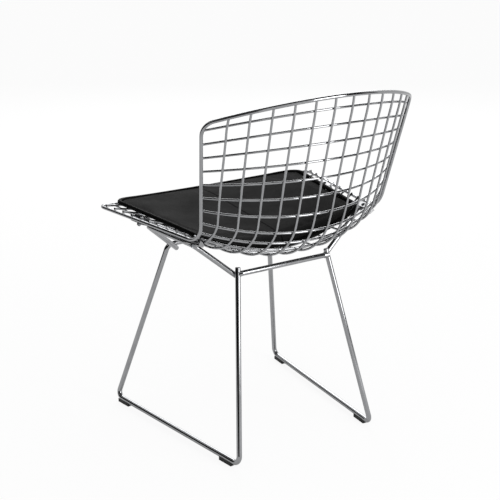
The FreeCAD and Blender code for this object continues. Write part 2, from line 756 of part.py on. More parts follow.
def clamp_nut(name, place, bottom):
    """A plain hexagon nut with its underside at a height."""
    at_bottom = place.multiply(Placement(Vector(0, 0, bottom), Rotation()))
    hexagon = doc.addObject("Part::Prism", name + "_hexagon")
    hexagon.Polygon = 6
    bind(hexagon, Circumradius="Sizes.nut_across_flats / 2 / cos(30 deg)",
         Height="Sizes.nut_height")
    hexagon.Placement = at_bottom
    bore = doc.addObject("Part::Cylinder", name + "_bore")
    bind(bore, Radius="Sizes.bolt_diameter / 2 + Sizes.weld_gap", Height="Sizes.nut_height")
    bore.Placement = at_bottom
    nut = doc.addObject("Part::Cut", name)
    nut.Base = hexagon
    nut.Tool = bore
    return nut


def clamps():
    """Two clamps on each side, with their bolts and nuts in one node each."""
    room = "Sizes.weld_gap"
    rail_room = round_rod("rail_room", side_rail_edges()[2], "frame_diameter", room)
    notch = round_rod("saddle_notch", fore_aft_edges(column_count), "wire_diameter",
                      "Sizes.saddle_notch_room")
    bolts = []
    nuts = []
    for place_name in ("front", "rear"):
        number = size(f"{place_name}_clamp_wire")
        wires = [round_rod(f"wire_room_{held}", cross_wire_edges(held), "wire_diameter", room)
                 for held in (math.floor(number), math.ceil(number))]
        place = clamp_place(number)
        length_alias = f"{place_name}_clamp_length"
        seat = wire_radius - size("saddle_groove")
        saddle_bottom = -seat - size("saddle_height")
        saddle = clamp_block(f"saddle_{place_name}", place, length_alias, saddle_bottom,
                             size("saddle_height"), wires + [rail_room, notch])
        plate = clamp_block(f"plate_{place_name}", place, length_alias, seat,
                            size("plate_thickness"), wires)
        nut_bottom = saddle_bottom - weld_gap - size("nut_height")
        head_seat = seat + size("plate_thickness") + weld_gap
        bolt = clamp_bolt(f"bolt_{place_name}", place, head_seat, nut_bottom - size("bolt_tail"))
        nut = clamp_nut(f"nut_{place_name}", place, nut_bottom)
        for piece, label in ((saddle, "saddle"), (plate, "clamp_plate")):
            sub_part(piece, f"{label}_{place_name}_left")
            sub_part(mirrored(piece, piece.Name + "_mirror"), f"{label}_{place_name}_right")
        bolts += [bolt, mirrored(bolt, bolt.Name + "_mirror")]
        nuts += [nut, mirrored(nut, nut.Name + "_mirror")]
    for pieces, label in ((bolts, "clamp_bolts"), (nuts, "clamp_nuts")):
        group = doc.addObject("Part::Compound", label + "_group")
        group.Links = pieces
        sub_part(group, label)


# Seat pad: a base board, the cover over its filling, and the welt sewn round it

pad_underside = wire_radius + size("pad_clearance")
cover_inset = size("welt_diameter") / 2 + size("welt_room")
pad_rows = size("pad_front_wire") - size("pad_rear_wire")
pad_length = pad_rows * (middle_station(cross_wire_count) - middle_station(cross_wire_count - 1))


def over(bow, distance, height):
    """A point over a bow of the mesh, at a height square to the seat's middle line."""
    way = middle_line.way_out
    return bow.at(distance) + Vector(0, way.z, -way.y) * height


def pad_bow(share):
    """A bow on the cross wires' level, from the pad's front edge (0) to its rear (1)."""
    return mesh_bow(blend(size("pad_front_wire"), size("pad_rear_wire"), share),
                    blend(size("pad_front_side_wire"), size("pad_rear_side_wire"), share))


def pad_half_width(share, inset):
    """Half the width inside the welt's centre line, with rounded corners."""
    half_width = blend(size("pad_front_half_width"), size("pad_rear_half_width"), share) - inset
    ends = ((share, size("pad_front_corner")), (1 - share, size("pad_rear_corner")))
    for distance, corner in ends:
        radius = corner - inset
        left_over = max(0, 1 - (distance * pad_length - inset) / radius)
        half_width -= radius * (1 - math.sqrt(max(0, 1 - left_over ** 2)))
    return half_width


def pad_middle_height(share):
    """The pad's height over its underside along the middle, beside the seam."""
    full = blend(size("pad_front_crown_height"), size("pad_rear_crown_height"), share)
    height = full
    ends = ((share, size("pad_front_height"), size("pad_front_roll")),
            (1 - share, size("pad_rear_height"), size("pad_rear_roll")))
    for distance, end_height, roll in ends:
        rise = math.sin(math.pi / 2 * min(1, distance * pad_length / roll))
        height -= (full - end_height) * (1 - rise)
    return height


def pad_side_height(share):
    """The pad's height over its underside at its sides."""
    rise = max(0, (share - 1) / size("pad_corner_rise_share") + 1)
    eased = (1 - math.cos(math.pi * rise)) / 2
    return blend(size("pad_edge_height"), size("pad_rear_corner_height"), eased)


def crown(share, inset):
    """Left half of the top's cross-section, from the side to the middle seam."""
    bow = pad_bow(share)
    edge = pad_underside + pad_side_height(share)
    middle = pad_underside + pad_middle_height(share)
    reach = bow.distance_at(pad_half_width(share, inset))
    return Part.Arc(over(bow, reach, edge), over(bow, reach / 2, blend(edge, middle, 0.7)),
                    over(bow, 0, middle - size("pad_seam_depth")))


def half_width_arc(bow, reach, height):
    """Part of a bow at a height, from the middle to its reach on the left."""
    return Part.Arc(over(bow, 0, height), over(bow, reach / 2, height),
                    over(bow, reach, height)).toShape()


def board_section(share, room):
    """Left half of the base board's cross-section, or of its recess with room round it."""
    bow = pad_bow(share)
    low = pad_underside - 2 * room
    high = pad_underside + size("board_thickness") + room
    reach = bow.distance_at(pad_half_width(share, size("board_inset") - room))
    side = Part.LineSegment(over(bow, reach, low), over(bow, reach, high)).toShape()
    return half_width_arc(bow, reach, low), side, half_width_arc(bow, reach, high)


def cover_section(share, hollow):
    """Left half of the cover's cross-section, its side drawn in by a hollow."""
    bow = pad_bow(share)
    reach = bow.distance_at(pad_half_width(share, cover_inset))
    bottom = over(bow, reach, pad_underside)
    middle = over(bow, reach - hollow, pad_underside + pad_side_height(share) / 2)
    top = crown(share, cover_inset)
    return (half_width_arc(bow, reach, pad_underside),
            arc_or_line(bottom, middle, top.StartPoint), top.toShape())


def skinned(name, sections):
    """A symmetrical solid through half sections, each a bottom, a side and a top edge.

    The sections bow in plan, so its ends aren't flat and are ruled like the rest.
    """
    faces = []
    for section, following in zip(sections, sections[1:]):
        faces += [Part.makeRuledSurface(*edges) for edges in zip(section, following)]
    for bottom, _, top in (sections[0], sections[-1]):
        faces.append(Part.makeRuledSurface(bottom, top))
    faces += [face.mirror(Vector(), Vector(1, 0, 0)) for face in faces]
    skin = Part.Compound(faces)
    skin.sewShape()
    solid = Part.Solid(skin.Shells[0])
    if solid.Volume < 0:
        solid.reverse()
    feature = doc.addObject("Part::Feature", name)
    feature.Shape = solid
    return feature


def pad_stations(inset):
    """Shares of the pad's length for its cross-sections, closer at its corners."""
    steps = [1 - math.cos(math.radians(angle)) for angle in (0, 18, 36, 54, 72, 90)]
    front = [(inset + (size("pad_front_corner") - inset) * step) / pad_length
             for step in steps]
    rear = [1 - (inset + (size("pad_rear_corner") - inset) * step) / pad_length
            for step in reversed(steps)]
    middle = [blend(front[-1], rear[0], step / 9) for step in range(1, 9)]
    return front + middle + rear


def welt_edges():
    """Centre line of the welt's left half, round the foot of the cover."""
    height = pad_underside + size("welt_diameter") / 2 + 5 * size("pad_clearance")
    stations = pad_stations(0)
    bows = [pad_bow(share) for share in stations]
    reaches = [bow.distance_at(pad_half_width(share, 0)) for bow, share in zip(bows, stations)]
    along = [over(bows[0], reaches[0] * step / 4, height) for step in range(4)]
    sides = [over(bow, reach, height) for bow, reach in zip(bows, reaches)]
    back = [over(bows[-1], reaches[-1] * step / 4, height) for step in (3, 2, 1, 0)]
    return smooth_chain(along + sides + back, Vector(1, 0, 0), Vector(-1, 0, 0))


def cover():
    """The filled cover, less the board's recess in its underside."""
    stations = pad_stations(cover_inset)
    inner = [cover_section(share, size("pad_side_hollow")) for share in stations[1:-1]]
    ends = [cover_section(share, 0) for share in (stations[0], stations[-1])]
    body = skinned("cover_body", [ends[0]] + inner + [ends[1]])
    room = size("pad_clearance")
    sections = [board_section(share, room) for share in pad_stations(size("board_inset") - room)]
    recess = skinned("board_recess", sections)
    return sub_part(cut_away(body, [recess], "cover"), "pad_cover")


def welt():
    """The thick piping round the cover, a closed loop."""
    half = round_rod("welt_half", welt_edges(), "welt_diameter")
    doc.recompute()
    other = half.Shape.mirror(Vector(), Vector(1, 0, 0))
    whole = doc.addObject("Part::Feature", "welt")
    whole.Shape = half.Shape.fuse(other)
    return sub_part(whole, "pad_welt")


def board():
    """The base board with prongs on each side of two cross wires, which locate it."""
    plate = skinned("board_plate", [board_section(share, 0)
                                   for share in pad_stations(size("board_inset"))])
    pieces = [plate]
    for place_name in ("front", "rear"):
        bow = cross_bows[int(size(f"{place_name}_prong_wire"))]
        station = size("prong_station")
        along = bow.way(station)
        ahead = Vector(0, 0, 1).cross(along).normalize()
        place = Placement(bow.at(station), Rotation(along, ahead, Vector(), "XYZ"))
        for side, side_name in ((-1, "front"), (1, "rear")):
            inner_face = wire_radius + size("prong_clearance")
            near = inner_face if side > 0 else -inner_face - size("prong_thickness")
            prong = doc.addObject("Part::Box", f"prong_{place_name}_{side_name}")
            bind(prong, Length="Sizes.prong_length", Width="Sizes.prong_thickness")
            prong.Height = size("prong_reach") + pad_underside + size("board_thickness") / 2
            corner = Vector(-size("prong_length") / 2, near, -size("prong_reach"))
            prong.Placement = place.multiply(Placement(corner, Rotation()))
            pieces += [prong, mirrored(prong, prong.Name + "_mirror")]
    whole = doc.addObject("Part::MultiFuse", "board")
    whole.Shapes = pieces
    return sub_part(whole, "pad_board")


for build in (perimeter_rod, fore_aft_wires, cross_wires, sled_frame, rear_crossbar,
              side_rails, clamps, glides, board, cover, welt):
    build()

doc.recompute()
for feature in doc.Objects:
    if "Invalid" in feature.State or "Error" in feature.State:
        raise RuntimeError(f"{feature.Label} failed: {feature.State}")
for piece in sub_parts:
    shape = piece.Shape
    if shape.isNull() or not shape.isValid():
        raise RuntimeError(f"{piece.Label} has no valid shape")

os.makedirs("parts", exist_ok=True)
for piece in sub_parts:
    piece.Shape.exportStep(f"parts/{piece.Label}.step")
    print(piece.Label, len(piece.Shape.Solids), round(piece.Shape.Volume, 1))
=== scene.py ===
"""The looks of a wire mesh chair: chromed wire shell, sled frame, clamps, glides and seat pad.

Every size is in metres in the row frame: the chair stands on Z = 0, faces -Y, and the
sitter's left is +X.
"""

import logging
import math
from dataclasses import dataclass
from enum import Enum

import bmesh
import bpy
from mathutils import Matrix, Vector
from mathutils.bvhtree import BVHTree


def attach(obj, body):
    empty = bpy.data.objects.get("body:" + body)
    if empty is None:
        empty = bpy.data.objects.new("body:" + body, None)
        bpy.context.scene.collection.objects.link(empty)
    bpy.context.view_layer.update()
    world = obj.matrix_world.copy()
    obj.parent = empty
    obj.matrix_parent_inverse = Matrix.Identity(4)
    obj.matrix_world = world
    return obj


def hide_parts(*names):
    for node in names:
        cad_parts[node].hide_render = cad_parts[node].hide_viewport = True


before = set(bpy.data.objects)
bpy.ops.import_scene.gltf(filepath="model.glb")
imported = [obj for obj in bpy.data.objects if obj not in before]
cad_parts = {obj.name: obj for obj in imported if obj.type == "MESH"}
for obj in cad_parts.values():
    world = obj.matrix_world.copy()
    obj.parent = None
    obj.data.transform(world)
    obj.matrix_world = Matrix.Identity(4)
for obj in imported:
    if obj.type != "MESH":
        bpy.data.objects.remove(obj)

LOG = logging.getLogger("wire_mesh_chair")
MM = 0.001


class Body(Enum):
    """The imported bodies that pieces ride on."""

    FRAME = "frame"
    PAD = "pad"


def linear(hex_colour: str) -> tuple[float, float, float, float]:
    """Turn an sRGB hex value into a linear colour.

    Args:
        hex_colour: Six hex digits after a hash.

    Returns:
        Red, green, blue and an alpha of 1.
    """
    channels = [int(hex_colour[i:i + 2], 16) / 255 for i in (1, 3, 5)]
    turned = [c / 12.92 if c <= 0.04045 else ((c + 0.055) / 1.055) ** 2.4 for c in channels]
    return (turned[0], turned[1], turned[2], 1.0)


def add_node(tree: bpy.types.NodeTree, kind: str, values: dict | None = None,
             links: dict | None = None) -> bpy.types.Node:
    """Add a node with its settings, input values and links.

    Args:
        tree: The node tree that takes it.
        kind: The node's type.
        values: Settings by attribute name, or input values by input name or number.
        links: The output that each named or numbered input is linked to.

    Returns:
        The new node.
    """
    node = tree.nodes.new(kind)
    for name, value in (values or {}).items():
        if isinstance(name, str) and hasattr(node, name):
            setattr(node, name, value)
        else:
            node.inputs[name].default_value = value
    for name, output in (links or {}).items():
        tree.links.new(output, node.inputs[name])
    return node


def ramp(tree: bpy.types.NodeTree, factor: bpy.types.NodeSocket,
         stops: list[tuple[float, str]]) -> bpy.types.NodeSocket:
    """Spread a factor over a row of colours.

    Args:
        tree: The node tree.
        factor: The value to spread.
        stops: Positions with their sRGB hex colours.

    Returns:
        The colour output.
    """
    node = add_node(tree, "ShaderNodeValToRGB", links={"Fac": factor})
    elements = node.color_ramp.elements
    while len(elements) < len(stops):
        elements.new(0.5)
    for element, (position, colour) in zip(elements, stops):
        element.position = position
        element.color = linear(colour)
    return node.outputs["Color"]


def new_material(name: str) -> tuple[bpy.types.Material, bpy.types.NodeTree, bpy.types.Node]:
    """Make a material with a bare Principled shader.

    Args:
        name: The material's name.

    Returns:
        The material, its node tree and its shader.
    """
    material = bpy.data.materials.new(name)
    material.use_nodes = True
    tree = material.node_tree
    return material, tree, tree.nodes["Principled BSDF"]


@dataclass(frozen=True)
class MetalFinish:
    """A metal surface: its tone, its haze, and the marks of how it was made."""

    name: str
    shade: str
    highlight: str
    smoothest: float
    dullest: float
    haze_mm: float
    mark_mm: float
    mark_depth_mm: float

    def material(self) -> bpy.types.Material:
        """Build the material."""
        material, tree, shader = new_material(self.name)
        place = add_node(tree, "ShaderNodeTexCoord").outputs["Object"]
        haze = add_node(tree, "ShaderNodeTexNoise",
                        {"Scale": 1 / (self.haze_mm * MM), "Detail": 3.0, "Roughness": 0.6},
                        {"Vector": place}).outputs["Fac"]
        marks = add_node(tree, "ShaderNodeTexNoise",
                         {"Scale": 1 / (self.mark_mm * MM), "Detail": 2.0},
                         {"Vector": place}).outputs["Fac"]
        tree.links.new(ramp(tree, haze, [(0.32, self.shade), (0.68, self.highlight)]),
                       shader.inputs["Base Color"])
        dullness = add_node(tree, "ShaderNodeMapRange",
                            {"From Min": 0.3, "From Max": 0.7, "To Min": self.smoothest,
                             "To Max": self.dullest}, {"Value": haze})
        tree.links.new(dullness.outputs["Result"], shader.inputs["Roughness"])
        bump = add_node(tree, "ShaderNodeBump",
                        {"Strength": 0.35, "Distance": self.mark_depth_mm * MM},
                        {"Height": marks})
        tree.links.new(bump.outputs["Normal"], shader.inputs["Normal"])
        shader.inputs["Metallic"].default_value = 1.0
        return material


@dataclass(frozen=True)
class PlasticFinish:
    """Moulded plastic: a fine spark-eroded grain, paler where the floor has worn it."""

    name: str
    colour: str
    worn: str
    roughness: float
    grain_mm: float
    wear_height_mm: float

    def material(self) -> bpy.types.Material:
        """Build the material."""
        material, tree, shader = new_material(self.name)
        place = add_node(tree, "ShaderNodeTexCoord").outputs["Object"]
        grain = add_node(tree, "ShaderNodeTexNoise",
                         {"Scale": 1 / (self.grain_mm * MM), "Detail": 3.0},
                         {"Vector": place}).outputs["Fac"]
        height = add_node(tree, "ShaderNodeSeparateXYZ", links={"Vector": place}).outputs["Z"]
        wear = add_node(tree, "ShaderNodeMapRange",
                        {"From Min": 0.0, "From Max": self.wear_height_mm * MM,
                         "To Min": 0.75, "To Max": 0.0}, {"Value": height}).outputs["Result"]
        worn = add_node(tree, "ShaderNodeMath", {"operation": "MULTIPLY"},
                        {0: wear, 1: grain}).outputs["Value"]
        tree.links.new(ramp(tree, worn, [(0.1, self.colour), (0.6, self.worn)]),
                       shader.inputs["Base Color"])
        dullness = add_node(tree, "ShaderNodeMapRange",
                            {"To Min": self.roughness - 0.08, "To Max": self.roughness + 0.12},
                            {"Value": grain})
        tree.links.new(dullness.outputs["Result"], shader.inputs["Roughness"])
        bump = add_node(tree, "ShaderNodeBump", {"Strength": 0.4, "Distance": 0.05 * MM},
                        {"Height": grain})
        tree.links.new(bump.outputs["Normal"], shader.inputs["Normal"])
        return material


@dataclass(frozen=True)
class LeatheretteFinish:
    """Calendered leatherette: pebbled grain with painted shade in its creases, soft mottling,
    and a stitched middle seam with painted shade in its fold.
    """

    name: str
    crease_shade_and_dark_mottle: str
    ridge: str
    roughness: float
    sheen_level: float
    pebble_mm: float
    mottle_mm: float
    seam_half_width_mm: float
    stitch_mm: float

    def grain(self, tree: bpy.types.NodeTree,
              place: bpy.types.NodeSocket) -> bpy.types.NodeSocket:
        """Pebbles with creases between them.

        Args:
            tree: The node tree.
            place: The coordinates to read.

        Returns:
            The grain's height, 0 in a crease.
        """
        cells = add_node(tree, "ShaderNodeTexVoronoi",
                         {"feature": "DISTANCE_TO_EDGE", "Scale": 1 / (self.pebble_mm * MM)},
                         {"Vector": place}).outputs["Distance"]
        rounded = add_node(tree, "ShaderNodeMapRange",
                           {"interpolation_type": "SMOOTHSTEP", "From Max": 0.28},
                           {"Value": cells})
        return rounded.outputs["Result"]

    def seam(self, tree: bpy.types.NodeTree,
             place: bpy.types.NodeSocket) -> bpy.types.NodeSocket:
        """The middle seam: painted shade in its fold, with the thread's dashes in it.

        Args:
            tree: The node tree.
            place: The coordinates to read.

        Returns:
            How far a point is out of the seam's painted shade, 0 to 1.
        """
        axes = add_node(tree, "ShaderNodeSeparateXYZ", links={"Vector": place})
        across = add_node(tree, "ShaderNodeMath", {"operation": "ABSOLUTE"},
                          {0: axes.outputs["X"]}).outputs["Value"]
        # Painted shade: the tone falls to nothing across the seam's fold.
        out = add_node(tree, "ShaderNodeMapRange",
                       {"interpolation_type": "SMOOTHSTEP",
                        "From Min": 0.35 * self.seam_half_width_mm * MM,
                        "From Max": self.seam_half_width_mm * MM},
                       {"Value": across}).outputs["Result"]
        step = add_node(tree, "ShaderNodeMath", {"operation": "PINGPONG", 1: 0.5},
                        {0: add_node(tree, "ShaderNodeMath",
                                     {"operation": "DIVIDE", 1: self.stitch_mm * MM},
                                     {0: axes.outputs["Y"]}).outputs["Value"]})
        thread = add_node(tree, "ShaderNodeMapRange",
                          {"From Min": 0.2, "From Max": 0.3, "To Max": 0.35},
                          {"Value": step.outputs["Value"]}).outputs["Result"]
        return add_node(tree, "ShaderNodeMath", {"operation": "MAXIMUM"},
                        {0: out, 1: thread}).outputs["Value"]

    def material(self) -> bpy.types.Material:
        """Build the material."""
        material, tree, shader = new_material(self.name)
        place = add_node(tree, "ShaderNodeTexCoord").outputs["Object"]
        grain = self.grain(tree, place)
        mottle = add_node(tree, "ShaderNodeTexNoise",
                          {"Scale": 1 / (self.mottle_mm * MM), "Detail": 4.0,
                           "Roughness": 0.55}, {"Vector": place}).outputs["Fac"]
        # Painted shade: the pebbles' creases take a darker tone than their tops, on top of the
        # random mottling.
        tone = add_node(tree, "ShaderNodeMath", {"operation": "MULTIPLY_ADD", 1: 0.35},
                        {0: grain, 2: mottle}).outputs["Value"]
        tone_with_seam_shade = tone
        if self.seam_half_width_mm:
            tone_with_seam_shade = add_node(tree, "ShaderNodeMath", {"operation": "MULTIPLY"},
                             {0: tone, 1: self.seam(tree, place)}).outputs["Value"]
        # The near-black first stop is the painted shade in the seam's fold.
        tree.links.new(ramp(tree, tone_with_seam_shade, [(0.0, "#040404"), (0.35, self.crease_shade_and_dark_mottle),
                                          (0.95, self.ridge)]),
                       shader.inputs["Base Color"])
        dullness = add_node(tree, "ShaderNodeMapRange",
                            {"To Min": self.roughness + 0.1, "To Max": self.roughness - 0.06},
                            {"Value": tone})
        tree.links.new(dullness.outputs["Result"], shader.inputs["Roughness"])
        bump = add_node(tree, "ShaderNodeBump", {"Strength": 0.45, "Distance": 0.12 * MM},
                        {"Height": grain})
        tree.links.new(bump.outputs["Normal"], shader.inputs["Normal"])
        shader.inputs["Specular IOR Level"].default_value = self.sheen_level
        return material


# Bright chrome plate on drawn wire: mirror-like, so it lives by the white and the dark that it
# reflects; the faint haze stands for polishing and fingerprints.
CHROME_WIRE = MetalFinish("bright_chrome_on_drawn_wire", "#abacae", "#b3b4b6",
                          0.05, 0.13, 14, 1.2, 0.02)
# The same plate on the thicker rod, polished a little more evenly.
CHROME_ROD = MetalFinish("bright_chrome_on_steel_rod", "#a8a9ab", "#b2b3b5",
                         0.04, 0.11, 26, 1.6, 0.02)
# Nickel plate on the pressed clamps: a softer shine with the press tool's grain.
NICKEL_CLAMP = MetalFinish("nickel_plated_pressed_steel", "#929395", "#b1b1b2",
                           0.16, 0.32, 6, 0.8, 0.04)
# Zinc plate on the bolts and nuts: greyer, a little blotchy.
ZINC_FASTENER = MetalFinish("zinc_plated_fasteners", "#8d9094", "#b2b4b8",
                            0.2, 0.36, 3, 0.6, 0.03)
# Black nylon glides, greyed on the sole by the floor.
NYLON_GLIDE = PlasticFinish("moulded_black_nylon", "#0d0d0d", "#3b3a38", 0.42, 0.7, 1.2)
# Black moulded ABS board under the pad: dull, with a fine spark-eroded grain.
ABS_BOARD = PlasticFinish("moulded_black_abs_board", "#141414", "#1c1c1c", 0.55, 0.9, 1.0)
# Charcoal leatherette: matte, softly mottled, with painted shade in the pebbles' creases and a
# painted shade line down the middle seam's fold. The pebbles are drawn at 1.3 mm, a little
# coarser than the real grain, so that they show.
PAD_LEATHERETTE = LeatheretteFinish("calendered_charcoal_leatherette", "#141414", "#222222",
                                    0.78, 0.08, 1.3, 60, 2.0, 3.2)
# The welt's leatherette is blacker than the cover's and smoother; it wraps a thick cord.
WELT_LEATHERETTE = LeatheretteFinish("black_welt_leatherette", "#060606", "#0f0f0f",
                                     0.55, 0.05, 1.1, 24, 0, 3.2)


def dress(nodes: list[str], material: bpy.types.Material) -> None:
    """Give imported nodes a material; their meshes and normals stay as they are packed.

    Args:
        nodes: Names of the nodes.
        material: The material for all their slots.
    """
    for name in nodes:
        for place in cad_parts[name].material_slots:
            place.material = material


def merged_copy(node: str, name: str) -> tuple[bpy.types.Object, bmesh.types.BMesh]:
    """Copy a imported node's mesh into a new object and join its loose triangles.

    Args:
        node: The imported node.
        name: The new object's name.

    Returns:
        The new object, and its mesh opened for work.
    """
    mesh = bpy.data.meshes.new(name)
    piece = bpy.data.objects.new(name, mesh)
    bpy.context.scene.collection.objects.link(piece)
    work = bmesh.new()
    work.from_mesh(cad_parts[node].data)
    bmesh.ops.remove_doubles(work, verts=work.verts, dist=0.01 * MM)
    return piece, work


def packed_surface(node: str) -> BVHTree:
    """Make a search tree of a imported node's mesh.

    Args:
        node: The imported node.

    Returns:
        The tree, whose normals point out of the piece.
    """
    work = bmesh.new()
    work.from_mesh(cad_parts[node].data)
    bmesh.ops.remove_doubles(work, verts=work.verts, dist=0.01 * MM)
    bmesh.ops.recalc_face_normals(work, faces=work.faces)
    tree = BVHTree.FromBMesh(work)
    work.free()
    return tree


def close_work(piece: bpy.types.Object, work: bmesh.types.BMesh) -> None:
    """Write worked geometry into a piece, shaded smooth.

    Args:
        piece: The object that takes it.
        work: The geometry, which is freed.
    """
    for face in work.faces:
        face.smooth = True
    work.to_mesh(piece.data)
    work.free()
    piece.data.update()


def bake_modifiers(piece: bpy.types.Object) -> None:
    """Replace a piece's mesh by what its modifiers give, and remove them."""
    graph = bpy.context.evaluated_depsgraph_get()
    graph.update()
    baked = bpy.data.meshes.new_from_object(piece.evaluated_get(graph))
    piece.modifiers.clear()
    piece.data = baked


@dataclass
class WireShell:
    """The welded shell: perimeter rod, fore and aft wires and cross wires."""

    fore_aft_wires: int = 12
    cross_wires: int = 20

    def build(self) -> None:
        """Dress the shell's wires and its perimeter rod."""
        wires = [f"fore_aft_wire_{i:02d}" for i in range(1, self.fore_aft_wires + 1)]
        wires += [f"cross_wire_{i:02d}" for i in range(1, self.cross_wires + 1)]
        wire_plate = CHROME_WIRE.material()
        dress(wires, wire_plate)
        dress(["perimeter_rod"], CHROME_ROD.material())
        LOG.info("shell: %d wires and the perimeter rod", len(wires))


@dataclass
class SledBase:
    """The sled frame, its crossbar, the side rails and the four glides."""

    def build(self) -> None:
        """Dress the base's rods and glides."""
        dress(["sled_frame", "rear_crossbar", "side_rail_left", "side_rail_right"],
              CHROME_ROD.material())
        dress([f"glide_{end}_{side}" for end in ("front", "rear") for side in ("left", "right")],
              NYLON_GLIDE.material())
        LOG.info("base: sled frame, crossbar, side rails and glides")


@dataclass
class SaddleClamps:
    """The four clamps between the shell and the side rails."""

    def build(self) -> None:
        """Dress the saddles, plates, bolts and nuts."""
        plated = NICKEL_CLAMP.material()
        for part in ("saddle", "clamp_plate"):
            dress([f"{part}_{end}_{side}" for end in ("front", "rear")
                   for side in ("left", "right")], plated)
        dress(["clamp_bolts", "clamp_nuts"], ZINC_FASTENER.material())
        LOG.info("clamps: saddles, plates, bolts and nuts")


@dataclass
class SeatPad:
    """The loose pad: base board, filled leatherette cover and the welt round its top."""

    voxel: float = 4.0 * MM
    board_growth: float = 0.6 * MM
    prong_reach: float = 2.0 * MM
    slimming: float = 0.5 * MM
    deepest: float = 0.15 * MM
    welt_grip: float = 6.0 * MM
    lying_lean: float = -0.5
    side_lean: float = 0.5
    pressed_lean: float = 0.3
    underside_lean: float = -0.8
    middle_strip: float = 50 * MM
    search_start: float = 20 * MM
    search_length: float = 50 * MM
    seam_room: float = 0.1 * MM
    pressure: float = 4.0
    frames: int = 20
    most_swell: float = 2.0 * MM
    board_recess: float = 3.6 * MM
    seam_depth: float = 1.1 * MM
    seam_half_width: float = 2.4 * MM

    def upward(self) -> Vector:
        """The direction square to the pad's underside on its middle line.

        Returns:
            The unit direction, upward.
        """
        total = Vector()
        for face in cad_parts["pad_board"].data.polygons:
            if face.normal.z < self.underside_lean and abs(face.center.x) < self.middle_strip:
                total += face.normal * face.area
        return -Vector((0, total.y, total.z)).normalized()

    def filled_body(self) -> bpy.types.Object:
        """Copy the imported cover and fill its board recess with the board's plate.

        Returns:
            The new object, its skin remeshed in voxels.
        """
        piece, work = merged_copy("pad_cover", "leatherette_cover")
        packed = BVHTree.FromBMesh(work)
        plate = bmesh.new()
        plate.from_mesh(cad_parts["pad_board"].data)
        bmesh.ops.remove_doubles(plate, verts=plate.verts, dist=0.01 * MM)
        below = [v for v in plate.verts if packed.find_nearest(v.co)[3] > self.prong_reach]
        bmesh.ops.delete(plate, geom=below, context="VERTS")
        bmesh.ops.holes_fill(plate, edges=plate.edges, sides=0)
        bmesh.ops.triangulate(plate, faces=plate.faces)
        plate.normal_update()
        for vertex in plate.verts:
            vertex.co += vertex.normal * self.board_growth
        filler = bpy.data.meshes.new("board_filler")
        plate.to_mesh(filler)
        plate.free()
        work.from_mesh(filler)
        bpy.data.meshes.remove(filler)
        close_work(piece, work)
        remesh = piece.modifiers.new("voxels", "REMESH")
        remesh.mode = "VOXEL"
        remesh.voxel_size = self.voxel
        bake_modifiers(piece)
        return piece

    def settle(self, piece: bpy.types.Object, up: Vector, depth: float) -> None:
        """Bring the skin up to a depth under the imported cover, and sew its sides to the welt.

        Args:
            piece: The cover.
            up: The pad's upward direction.
            depth: How deep a point may lie under that surface.
        """
        surface = packed_surface("pad_cover")
        welt = packed_surface("pad_welt")
        mesh = piece.data
        for vertex in mesh.vertices:
            facing = vertex.normal.dot(up)
            if facing < self.lying_lean:
                continue
            sewn, _, _, reach = welt.find_nearest(vertex.co, self.welt_grip)
            if sewn and facing < self.side_lean:
                vertex.co = sewn + (vertex.co - sewn) * (self.seam_room / reach)
                continue
            foot, outward = surface.find_nearest(vertex.co)[:2]
            if (vertex.co - foot).dot(outward) < -depth:
                vertex.co = foot - outward * depth
        mesh.update()

    def swell(self, piece: bpy.types.Object, up: Vector) -> None:
        """Let the filling swell the skin between its welt and the board it lies on.

        Args:
            piece: The cover.
            up: The pad's upward direction.
        """
        mesh = piece.data
        welt = packed_surface("pad_welt")
        fixed = [v.index for v in mesh.vertices if v.normal.dot(up) < self.lying_lean
                 or welt.find_nearest(v.co, self.welt_grip)[0]]
        held = piece.vertex_groups.new(name="held")
        held.add(fixed, 1.0, "REPLACE")
        start = [v.co.copy() for v in mesh.vertices]
        cloth = piece.modifiers.new("filling", "CLOTH")
        cloth.settings.vertex_group_mass = "held"
        cloth.settings.use_pressure = True
        cloth.settings.uniform_pressure_force = self.pressure
        cloth.settings.tension_stiffness = 25.0
        cloth.settings.compression_stiffness = 25.0
        cloth.settings.bending_stiffness = 4.0
        cloth.settings.effector_weights.gravity = 0.0
        for number in range(1, self.frames + 1):
            bpy.context.scene.frame_set(number)
        bake_modifiers(piece)
        for vertex, first in zip(piece.data.vertices, start):
            moved = vertex.co - first
            if moved.length > self.most_swell:
                vertex.co = first + moved * (self.most_swell / moved.length)
        bpy.context.scene.frame_set(1)

    def subdivide(self, piece: bpy.types.Object) -> None:
        """Smooth the skin by one subdivision."""
        finer = piece.modifiers.new("finer", "SUBSURF")
        finer.levels = 1
        finer.render_levels = 1
        bake_modifiers(piece)

    def finish_skin(self, piece: bpy.types.Object, up: Vector) -> None:
        """Press the board's recess into the underside and the middle seam into the top.

        Args:
            piece: The cover.
            up: The pad's upward direction.
        """
        board = bmesh.new()
        board.from_mesh(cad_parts["pad_board"].data)
        packed_board = BVHTree.FromBMesh(board)
        board.free()
        work = bmesh.new()
        work.from_mesh(piece.data)
        for place in (-1.0, -0.5, -0.2, 0.0, 0.2, 0.5, 1.0):
            bmesh.ops.bisect_plane(work, geom=work.verts[:] + work.edges[:] + work.faces[:],
                                   dist=0.05 * MM, plane_co=(place * self.seam_half_width, 0, 0),
                                   plane_no=(1, 0, 0))
        work.normal_update()
        for vertex in work.verts:
            facing = vertex.normal.dot(up)
            if facing > self.pressed_lean and abs(vertex.co.x) < self.seam_half_width:
                share = abs(vertex.co.x) / self.seam_half_width
                vertex.co -= up * self.seam_depth * (1 - share) ** 2
            elif facing < -self.pressed_lean:
                foot = vertex.co - up * self.search_start
                struck = packed_board.ray_cast(foot, up, self.search_length)[0]
                if struck is not None:
                    vertex.co = struck + up * self.board_recess
        close_work(piece, work)

